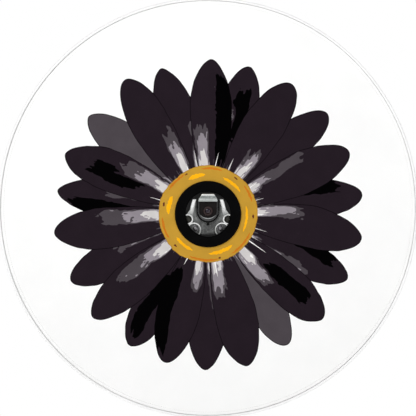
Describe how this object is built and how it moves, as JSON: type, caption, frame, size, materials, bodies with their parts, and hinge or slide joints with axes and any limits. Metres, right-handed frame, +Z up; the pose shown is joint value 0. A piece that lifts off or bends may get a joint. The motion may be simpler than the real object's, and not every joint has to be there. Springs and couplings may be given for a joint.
{
  "type": "spare tire cover",
  "caption": "Soft drum-shaped cover for an outside-carried spare wheel, with an elastic rear hem and a round port in its printed face for a tilting reversing camera.",
  "frame": {"origin": "on the wheel's axle, on the plane where the tyre's outer sidewall rests on the lining", "axes": "+Y along the axle towards the vehicle, -Y out of the printed face, +Z up, +X to the right as the face is seen"},
  "size_m": [0.8222, 0.2879, 0.8222],
  "materials": {
    "white_vinyl": "smooth coated vinyl, satin",
    "piping_vinyl": "smooth coated vinyl, satin",
    "fleece_lining": "short fleece",
    "welt_cord": "twisted cord",
    "elastic": "braided shock cord",
    "nickel": "nickel plate",
    "ring_black": "moulded, matt",
    "foam_seal": "closed cell foam",
    "screw_steel": "zinc plate",
    "cradle_grey": "cast, dark grey",
    "cap_olive": "moulded, satin",
    "bright_trim": "polished",
    "plate_black": "powder coat",
    "pod_black": "fine texture",
    "window_dark": "tinted, polished",
    "hood_silver": "satin",
    "lens_glass": "coated",
    "board_green": "solder mask",
    "sensor_dark": "cover glass",
    "nylon": "nylon"
  },
  "bodies": {
    "cover": {"face_panel": "white_vinyl", "face_lining": "fleece_lining", "piping_cover": "piping_vinyl", "piping_cord": "welt_cord", "side_band": "white_vinyl", "side_seam_strip": "white_vinyl", "rear_return": "white_vinyl", "rear_seam_tape": "white_vinyl", "hem_casing": "white_vinyl", "elastic_cord": "elastic", "elastic_ferrule": "nickel", "drain_eyelets": "nickel", "drain_washers": "nickel", "port_ring_front": "ring_black", "port_ring_rear": "ring_black", "port_gasket": "foam_seal", "port_screws": "screw_steel"},
    "camera_unit": {"camera_backplate": "plate_black", "camera_cradle": "cradle_grey", "shoulder_trims": "bright_trim", "boss_rims": "bright_trim", "boss_caps": "cap_olive", "cradle_screws": "screw_steel", "cap_nuts": "screw_steel", "aim_clamp_screw": "screw_steel", "pivot_screws": "screw_steel", "friction_washers": "nylon"},
    "camera_pod": {"pod_housing": "pod_black", "pod_hood": "hood_silver", "lens_window": "window_dark", "window_bezel": "hood_silver", "lens_barrel": "pod_black", "lens_retainer": "pod_black", "lens_glass": "lens_glass", "sensor_board": "board_green", "image_sensor": "sensor_dark", "pod_seal": "foam_seal", "pod_rear_cover": "pod_black", "pod_cover_screws": "screw_steel", "cable_socket": "pod_black"}
  },
  "joints": [
    {"name": "camera_withdraw", "type": "slide", "parent": "cover", "child": "camera_unit", "axis": [0, 1, 0], "range_m": [0, 0.3]},
    {"name": "camera_tilt", "type": "hinge", "parent": "camera_unit", "child": "camera_pod", "pos_m": [0, 0.0115, -0.006], "axis": [1, 0, 0], "range_deg": [-8, 8]}
  ]
}
